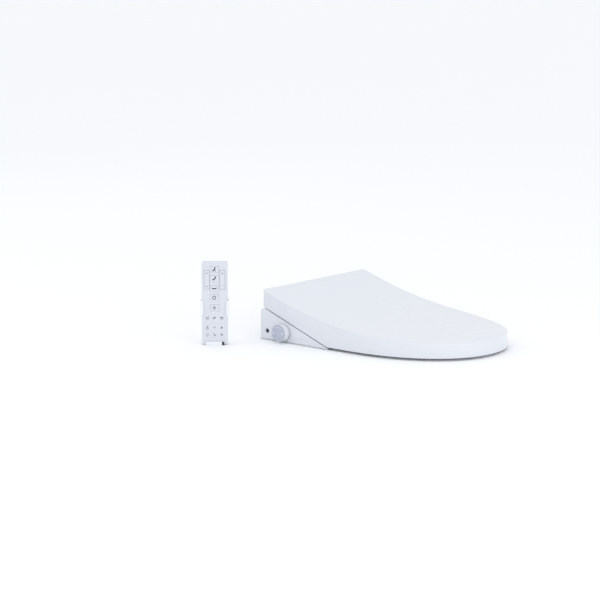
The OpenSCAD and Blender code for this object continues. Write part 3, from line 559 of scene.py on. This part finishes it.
def outline_ring(inset):
    """The whole outline as (x, s) points: rear edge, left side, tip, then back down the right."""
    rows = half_rows(inset)
    rear = [(rows[0][0] * c, rows[0][1]) for c in COLUMNS]
    left = [(-x, s) for x, s in rows[1:]]
    right = [(x, s) for x, s in reversed(rows[1:])]
    return rear + left + [(0.0, SEAT_LEN - inset)] + right


def crown(verts, faces, inset, height, soft=False):
    """A surface over the whole plan at that inset. Returns its rim, in outline_ring's order."""
    rows = half_rows(inset)
    if soft:
        rows = [(xo + (x - xo) * softness(so), so + (s - so) * softness(so))
                for (x, s), (xo, so) in zip(rows, half_rows(0))]
    grid = [add_ring(verts, [(x * c, BOLT_S - s, height(x * c, s)) for c in COLUMNS]) for x, s in rows]
    tip_s = SEAT_LEN - inset
    tip = add_ring(verts, [(0.0, BOLT_S - tip_s, height(0.0, tip_s))])[0]
    for upper, lower in zip(grid, grid[1:]):
        for i in range(len(COLUMNS) - 1):
            faces.append((upper[i], upper[i + 1], lower[i + 1], lower[i]))
    last = grid[-1]
    faces += [(last[i], last[i + 1], tip) for i in range(len(COLUMNS) - 1)]
    return grid[0] + [row[-1] for row in grid[1:]] + [tip] + [row[0] for row in reversed(grid[1:])]


def ring_at(verts, inset, height):
    return add_ring(verts, [(x, BOLT_S - s, height(x, s)) for x, s in outline_ring(inset)])


def edge_ring(verts, inset, drop, height):
    """A ring on the rounded top edge, whose radius grows towards the rear."""
    points = []
    for (x, s), (x_out, s_out) in zip(outline_ring(inset), outline_ring(0)):
        grow = softness(s_out)
        px, ps = x_out + (x - x_out) * grow, s_out + (s - s_out) * grow
        points.append((px, BOLT_S - ps, height(px, ps) - drop * grow))
    return add_ring(verts, points)


def lid_top(x, s):
    """The lid's top: a soft step runs along its rear edge and fades out towards the corners."""
    middle = min(1.0, max(0.0, (152.0 - abs(x)) / 8.0))
    fall = 0.6 * max(0.0, 1 - s / LIP_S)
    groove = 0.45 * math.exp(-((s - LIP_S) / 0.9) ** 2)
    return lid_z(s) - middle * (fall + groove)


def lid_low(x, s):
    turn_s = HINGE_S - 2.7
    if s < turn_s:
        rear_z, turn_z = HINGE_Z - 4, seam_z(turn_s) + SEAM_GAP
        return rear_z + (turn_z - rear_z) * s / turn_s
    return max(SKIRT_Z, seam_z(s) + SEAM_GAP)


def quarter(radius, steps):
    """(inwards, downwards) steps round an edge, from the flat face to the side."""
    turns = [math.radians(90 * i / steps) for i in range(steps + 1)]
    return [(radius * (1 - math.sin(a)), radius * (1 - math.cos(a))) for a in turns]


def make_lid():
    verts, faces = [], []
    previous = crown(verts, faces, LID_CREASE, lid_top, soft=True)
    for inset, drop in quarter(LID_CREASE, 7)[1:]:
        ring = edge_ring(verts, inset, drop, lid_top)
        bridge(faces, previous, ring)
        previous = ring
    for inset, lift in reversed(quarter(LID_FOOT, 4)):
        ring = ring_at(verts, inset, lambda x, s: lid_low(x, s) + lift)
        bridge(faces, previous, ring)
        previous = ring
    for inset, lift in quarter(LID_FOOT, 3):
        ring = ring_at(verts, LID_WALL - inset, lambda x, s: lid_low(x, s) + lift)
        bridge(faces, previous, ring)
        previous = ring
    inner = LID_WALL + 2.0
    ring = ring_at(verts, LID_WALL, lambda x, s: lid_z(s) - inner)
    bridge(faces, previous, ring)
    under = crown(verts, faces, inner, lambda x, s: lid_z(s) - LID_WALL)
    bridge(faces, ring, under)
    lid = mesh_object("lid_cover", verts, faces, MATERIALS["white_plastic"])
    cutter = box_object("rear_cut", (-CUT_HALF_W, CUT_HALF_W), (-3, LID_WALL + 1.2), (CUT_LOW_Z, CUT_Z))
    bevel(cutter, 2.5, angle=60)
    cut(lid, cutter)
    tidy_mesh(lid, 30.0)
    stand_for(lid, "lid_shell")
    section = hinge_arc(LID_LUG_R, range(10, -191, -10))
    section += [(HINGE_S - 5.4, HINGE_Z + 12), (HINGE_S - 3.0, lid_z(HINGE_S) - 2.6),
                (HINGE_S + 20, lid_z(HINGE_S + 20) - 2.6), (HINGE_S + 10.5, HINGE_Z + 10)]
    make_lug("lid_lug_right", section, -1, LID_LUG_X, "lid_shell")
    make_lug("lid_lug_left", section, 1, LID_LUG_X, "lid_shell")
    dot_line = [(0, -0.6), (0.8, -0.6), (0.9, 0.0), (0.8, 0.12), (0, 0.14)]
    dot = lathe("lid_mark", dot_line, MATERIALS["grey_plastic"], 24)
    move_mesh(dot, Matrix.Translation((LID_MARK_X, BOLT_S - LID_MARK_S, lid_z(LID_MARK_S))))
    join_in(dot, "lid_shell")


def box_object(name, x_range, s_range, z_range):
    """A plain block, which cuts other pieces and is then gone."""
    outline = [(x_range[0], BOLT_S - s_range[1]), (x_range[1], BOLT_S - s_range[1]),
               (x_range[1], BOLT_S - s_range[0]), (x_range[0], BOLT_S - s_range[0])]
    return prism(name, outline, z_range[0], z_range[1], MATERIALS["white_plastic"])


def side_bar(name, section, x_range, material):
    """A bar along X whose section is a list of (s, z) points."""
    verts, faces = [], []
    near = add_ring(verts, [(x_range[0], BOLT_S - s, z) for s, z in section])
    far = add_ring(verts, [(x_range[1], BOLT_S - s, z) for s, z in section])
    bridge(faces, near, far)
    faces += [tuple(reversed(near)), tuple(far)]
    return mesh_object(name, verts, faces, material)


def hinge_arc(radius, degrees):
    """(s, z) points at that radius round the hinge line."""
    turns = [math.radians(a) for a in degrees]
    return [(HINGE_S + radius * math.cos(a), HINGE_Z + radius * math.sin(a)) for a in turns]


def make_lug(name, section, side, x_range, node):
    """A lug on the hinge line, with its bore for the bush, that goes with the node."""
    lug = side_bar(name, section, sorted(side * x for x in x_range), MATERIALS["white_plastic"])
    bore_line = [(0, -20), (LUG_BORE_R, -20), (LUG_BORE_R, 20), (0, 20)]
    bore = lathe(name + "_bore", bore_line, MATERIALS["white_plastic"], 48)
    turn = Matrix.Rotation(math.radians(90), 4, "Y")
    move_mesh(bore, Matrix.Translation((side * sum(x_range) / 2, BOLT_S - HINGE_S, HINGE_Z)) @ turn)
    cut(lug, bore)
    bevel(lug, 0.6, segments=2)
    tidy_mesh(lug)
    join_in(lug, node)


# ------------------------------------------------------------------ seat
ARM_TOP_S = 120.0
ARM_S = 34.0
SEAT_INSET = 6.0
SEAT_BASE_Z = 8.0
OPEN_HALF_W, OPEN_REAR_S, OPEN_FRONT_S, OPEN_POWER = 106.0, 190.0, 468.0, 2.15
HOUSING_HALF_W, HOUSING_S = 141.0, 172.5
SEAT_WALL = 3.0
TUNNEL_X, TUNNEL_S, TUNNEL_Z = (-26, 95), (168, 203), (-1, 49)


def seat_z(s):
    if s > ARM_TOP_S:
        return lid_z(s) - 8.0
    return HINGE_Z + 8 + (lid_z(ARM_TOP_S) - 8 - HINGE_Z - 8) * (s - HINGE_S) / (ARM_TOP_S - HINGE_S)


def seat_low(s):
    return max(SEAT_BASE_Z, seam_z(s) + 2)


def seat_outline():
    stations = (ARM_S, 48, 62, 80, 100, 120, 140, 160, 180, 195.7, 212, 232, 250)
    rows = [(side_x(s) - SEAT_INSET, s) for s in stations] + front_rows(SEAT_INSET)
    rear = [(HOUSING_HALF_W, s) for s in (HOUSING_S, 150, 125, 100, 70, 50)]
    arm = [(HOUSING_HALF_W, ARM_S), (165, ARM_S)]
    right = rear + arm + rows
    loop = [(x, BOLT_S - s) for x, s in right] + [(0.0, BOLT_S - SEAT_LEN + SEAT_INSET)]
    loop += [(-x, BOLT_S - s) for x, s in reversed(right)]
    loop += [(x, BOLT_S - HOUSING_S) for x in (-95, -48, 0, 48, 95)]
    return loop


def opening_loop():
    middle = (OPEN_REAR_S + OPEN_FRONT_S) / 2
    half = (OPEN_FRONT_S - OPEN_REAR_S) / 2
    loop = []
    for turn in range(0, 360, 5):
        c, n = math.cos(math.radians(turn)), math.sin(math.radians(turn))
        loop.append((OPEN_HALF_W * math.copysign(abs(c) ** (2 / OPEN_POWER), c),
                     BOLT_S - middle - half * math.copysign(abs(n) ** (2 / OPEN_POWER), n)))
    return loop


def seat_top_height(x, y):
    """The seat's top, dished a little towards the opening."""
    s = BOLT_S - y
    middle = (OPEN_REAR_S + OPEN_FRONT_S) / 2
    reach = ((abs(x) / 150) ** 2.2 + (abs(s - middle) / 190) ** 2.2) ** (1 / 2.2)
    dish = 1.5 * min(1.0, max(0.0, (1.0 - reach) / 0.3)) ** 1.5
    return seat_z(s) - (dish if s > 150 else 0)


def make_seat():
    outline, hole = seat_outline(), opening_loop()
    seat = rounded_plate("seat_ring", outline, [hole], seat_top_height, lambda x, y: seat_low(BOLT_S - y),
                         MATERIALS["white_plastic"], top_edge=5.0, low_edge=0.8, spacing=11.0, steps=6)
    inner = rounded_plate("seat_hollow", shrink(outline, SEAT_WALL), [shrink(hole, -SEAT_WALL)],
                          lambda x, y: seat_top_height(x, y) - SEAT_WALL,
                          lambda x, y: seat_low(BOLT_S - y) - 8,
                          MATERIALS["white_plastic"], top_edge=2.5, low_edge=0.5, spacing=18.0, steps=2)
    cut(seat, inner)
    cut(seat, box_object("tunnel", TUNNEL_X, TUNNEL_S, TUNNEL_Z))
    tidy_mesh(seat, 32.0)
    stand_for(seat, "seat_top")
    section = hinge_arc(SEAT_LUG_R, range(80, 281, 10))
    section += [(ARM_S + 3, seam_z(ARM_S + 3) + 6), (ARM_S + 3, seat_z(ARM_S + 3) - 0.6)]
    make_lug("seat_lug_right", section, -1, SEAT_LUG_X, "seat_top")
    make_lug("seat_lug_left", section, 1, SEAT_LUG_X, "seat_top")


# ------------------------------------------------------------------ knob
def side_matrix(s, z):
    """Turns a form made along Z so that it stands out of the casing's -X side."""
    return Matrix.Translation((0.0, BOLT_S - s, z)) @ Matrix.Rotation(math.radians(-90), 4, "Y")


def make_knob():
    back, face = PANEL_X + KNOB_BACK, PANEL_X + KNOB_H
    rim = KNOB_R
    skirt = [(0, back + 0.2), (rim - 2.6, back + 0.2), (rim - 0.6, back), (rim - 0.2, back + 0.4),
             (rim, face - 2.0), (rim - 0.1, face - 1.8), (rim - 0.5, face - 1.6), (0, face - 1.6)]
    barrel = lathe("knob_barrel", skirt, MATERIALS["white_plastic"], 120)
    move_mesh(barrel, side_matrix(KNOB_S, KNOB_Z))
    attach(barrel, body_of_node("knob_cap"))
    disc = rim - 0.25
    face_line = [(0, face - 1.6), (disc, face - 1.6), (disc, face - 0.9), (disc - 0.2, face - 0.4),
                 (disc - 0.7, face - 0.1), (disc - 1.3, face), (disc - 2.9, face),
                 (disc - 3.2, face - 0.2), (disc - 3.6, face - 0.2), (disc - 3.9, face), (0, face)]
    plate = lathe("knob_face", face_line, MATERIALS["knob_plastic"], 120)
    move_mesh(plate, side_matrix(KNOB_S, KNOB_Z))
    stand_for(plate, "knob_cap")
    marks = [arrow_mark(side) for side in (-1, 1)]
    marks += [arc_strip(14.6, 0.9, 48, 132), disc_outline(0, 0, 1.5)]
    for i, outline in enumerate(marks):
        mark = prism("knob_mark_" + str(i), outline, face - 0.3, face + 0.12, PALE_MARK)
        move_mesh(mark, side_matrix(KNOB_S, KNOB_Z) @ Matrix.Rotation(math.radians(-90), 4, "Z"))
        join_in(mark, "knob_cap")


def arrow_mark(side):
    """A small triangle beside the knob's centre that points outwards."""
    return [(side * 11.6, -2.2), (side * 16.4, -0.4), (side * 13.4, 3.6)][::side]


def arc_strip(radius, width, start, end, steps=16):
    """Outline of a strip that runs round the origin between two angles."""
    turns = [math.radians(start + (end - start) * i / steps) for i in range(steps + 1)]
    low, high = radius - width / 2, radius + width / 2
    outer = [(high * math.cos(a), high * math.sin(a)) for a in turns]
    inner = [(low * math.cos(a), low * math.sin(a)) for a in turns]
    return outer + inner[::-1]


# ------------------------------------------------------------------ remote marks
def remote_matrix():
    place = Matrix.Translation((REMOTE_PLACE[0], REMOTE_PLACE[1], LIP_H))
    return place @ Matrix.Rotation(REMOTE_TURN, 4, "Z") @ Matrix.Rotation(math.radians(90), 4, "X")


def stroke(a, b, width, steps=6):
    """Outline of a bar with round ends."""
    direction = Vector((b[0] - a[0], b[1] - a[1]))
    lean = math.atan2(direction.y, direction.x)
    loop = []
    for centre, start in ((b, -90), (a, 90)):
        for i in range(steps + 1):
            angle = lean + math.radians(start + 180 * i / steps)
            loop.append((centre[0] + width / 2 * math.cos(angle), centre[1] + width / 2 * math.sin(angle)))
    return loop


def disc_outline(cx, cy, radius, steps=28):
    return [(cx + radius * math.cos(2 * math.pi * i / steps), cy + radius * math.sin(2 * math.pi * i / steps))
            for i in range(steps)]


def print_mark(name, outlines, centre, depth, node, material):
    """Thin raised printing on the remote: each outline is a closed plate 0.1 mm proud of the face."""
    verts, faces = [], []
    for outline in outlines:
        points = outline if not clockwise(outline) else outline[::-1]
        low = add_ring(verts, [(centre[0] + u, centre[1] + v, depth - 0.15) for u, v in points])
        high = add_ring(verts, [(centre[0] + u, centre[1] + v, depth + 0.1) for u, v in points])
        bridge(faces, low, high)
        faces += [tuple(reversed(low)), tuple(high)]
    mark = mesh_object(name, verts, faces, material)
    move_mesh(mark, remote_matrix())
    join_in(mark, node)


def ring_mark(radius, width, start=0, end=360):
    """A ring in two halves, or a part of one, as closed outlines."""
    middle = (start + end) / 2
    return [arc_strip(radius, width, start, middle), arc_strip(radius, width, middle, end)]


KEY_MARKS = {
    "rear_wash_key": (175.0, [stroke((1.8, 4.6), (1.2, -0.2), 2.6), stroke((1.0, -0.4), (-3.9, -3.2), 2.3)],
                      [stroke((1.4, -1.2), (4.0, -5.0), 1.2)]),
    "front_wash_key": (153.4, [stroke((3.0, 4.6), (1.8, 0.4), 2.7), stroke((1.4, 0.0), (-3.2, -2.2), 2.4)],
                       [stroke((0.4, -2.2), (-1.2, -5.2), 1.0)]),
    "dryer_key": (130.5, [stroke((-4.6, 0.6), (-0.6, -0.6), 2.5), stroke((-0.6, -0.6), (2.8, -0.5), 2.3),
                          stroke((2.8, -0.5), (4.9, 1.3), 2.4)], []),
    "stop_key": (108.9, ring_mark(3.7, 1.5), []),
    "power_key": (85.0, [disc_outline(0, 1.0, 1.7), stroke((0, 1.4), (0, 4.0), 1.1)],
                  ring_mark(3.5, 1.0, 160, 380)),
}
ROCKER_MARKS = {
    "position_rocker": (-18.0, [
        ((0, 166.4), [stroke((-2.5, -1.0), (0, 1.2), 0.9), stroke((0, 1.2), (2.5, -1.0), 0.9)]),
        ((0, 136.0), [stroke((-2.5, 1.0), (0, -1.2), 0.9), stroke((0, -1.2), (2.5, 1.0), 0.9)])]),
    "pressure_rocker": (18.0, [
        ((0, 166.4), [stroke((-1.5, 0), (1.5, 0), 1.0), stroke((0, -1.5), (0, 1.5), 1.0)]),
        ((0, 137.6), [stroke((-1.7, 0), (1.7, 0), 0.8)])]),
}
MEMBRANE_MARKS = {
    (-17.4, 61.0): [stroke((-3.6, 0.6), (1.8, 1.6), 0.9), stroke((1.8, 1.6), (3.4, 4.6), 0.8)]
    + ring_mark(3.4, 0.8, 185, 355) + [stroke((-3.4, -0.3), (3.4, -0.3), 0.8)],
    (-1.1, 61.0): [stroke((-1.9, -0.9), (1.6, 1.0), 3.0), stroke((0.8, 2.6), (2.8, 3.4), 0.9)],
    (15.9, 61.0): ring_mark(3.5, 0.8, 180, 360) + [stroke((-2.8, 1.6), (2.8, 1.6), 1.9),
                                                   stroke((-3.5, 0), (3.5, 0), 0.7)],
    (-17.4, 38.3): ring_mark(3.6, 1.0, 200, 340) + ring_mark(3.4, 0.9, 20, 160) + [disc_outline(0, 0, 1.4)],
    (-1.1, 38.3): [stroke((-2.6, 2.0), (0, -1.2), 0.9), stroke((0, -1.2), (2.6, 2.0), 0.9)],
    (15.9, 38.3): [stroke((-2.4, -1.8), (0, 2.4), 0.9), stroke((2.4, -1.8), (0, 2.4), 0.9),
                   disc_outline(0, -0.6, 1.5)],
    (-17.4, 21.8): ring_mark(2.7, 0.7) + [stroke((-1.0, -3.9), (1.0, -3.9), 0.8)],
    (-1.1, 21.8): [disc_outline(-1.2, 1.6, 1.5), disc_outline(1.1, -1.7, 1.7)],
    (15.9, 21.8): [stroke((-2.6, 0), (0, 2.6), 1.0), stroke((0, 2.6), (2.6, 0), 1.0),
                   stroke((2.6, 0), (0, -2.6), 1.0), stroke((0, -2.6), (-2.6, 0), 1.0),
                   disc_outline(0, 0, 0.8)],
}


def make_remote_marks():
    for node, (height, dark, faint) in KEY_MARKS.items():
        print_mark(node + "_mark", dark, (KEY_X, height), KEY_FACE, node, INK)
        if faint:
            print_mark(node + "_jet", faint, (KEY_X, height), KEY_FACE, node, FAINT_INK)
    for node, (across, marks) in ROCKER_MARKS.items():
        for i, ((du, height), shapes) in enumerate(marks):
            print_mark(node + "_mark_" + str(i), shapes, (across + du, height), KEY_FACE, node, FAINT_INK)
    for i, ((across, height), shapes) in enumerate(MEMBRANE_MARKS.items()):
        print_mark("membrane_mark_" + str(i), shapes, (across, height), REMOTE_T, "remote_front", FAINT_INK)
    for i, place in enumerate(LEVEL_LAMPS):
        bar = [stroke((-0.9, 0), (0.9, 0), 1.0)]
        print_mark("level_lamp_" + str(i), bar, place, REMOTE_T, "remote_front", AMBER)


# ------------------------------------------------------------------ the whole
def dress_cad():
    """Every CAD node gets its procedural material through its own material slots."""
    for name, node in frame["nodes"].items():
        material = MATERIALS[slot_of_node(name)]
        if not node.material_slots:
            node.data.materials.append(material)
        for holder in node.material_slots:
            holder.material = material


# How wide the softened edges of the casings are
EDGE_WIDTHS = {
    "main_cover": 1.2, "left_side_panel": 1.2, "right_side_panel": 1.2, "remote_front": 0.3,
    "remote_back": 1.6, "battery_door": 0.5, "remote_bracket": 0.6, "lid_liner": 1.0, "seat_underside": 0.6,
}

make_camera()
set_colour()
make_world()
make_lights()
make_floor()
dress_cad()
make_lid()
make_seat()
make_knob()
for node_name, width in EDGE_WIDTHS.items():
    softened(node_name, width)
make_remote_marks()
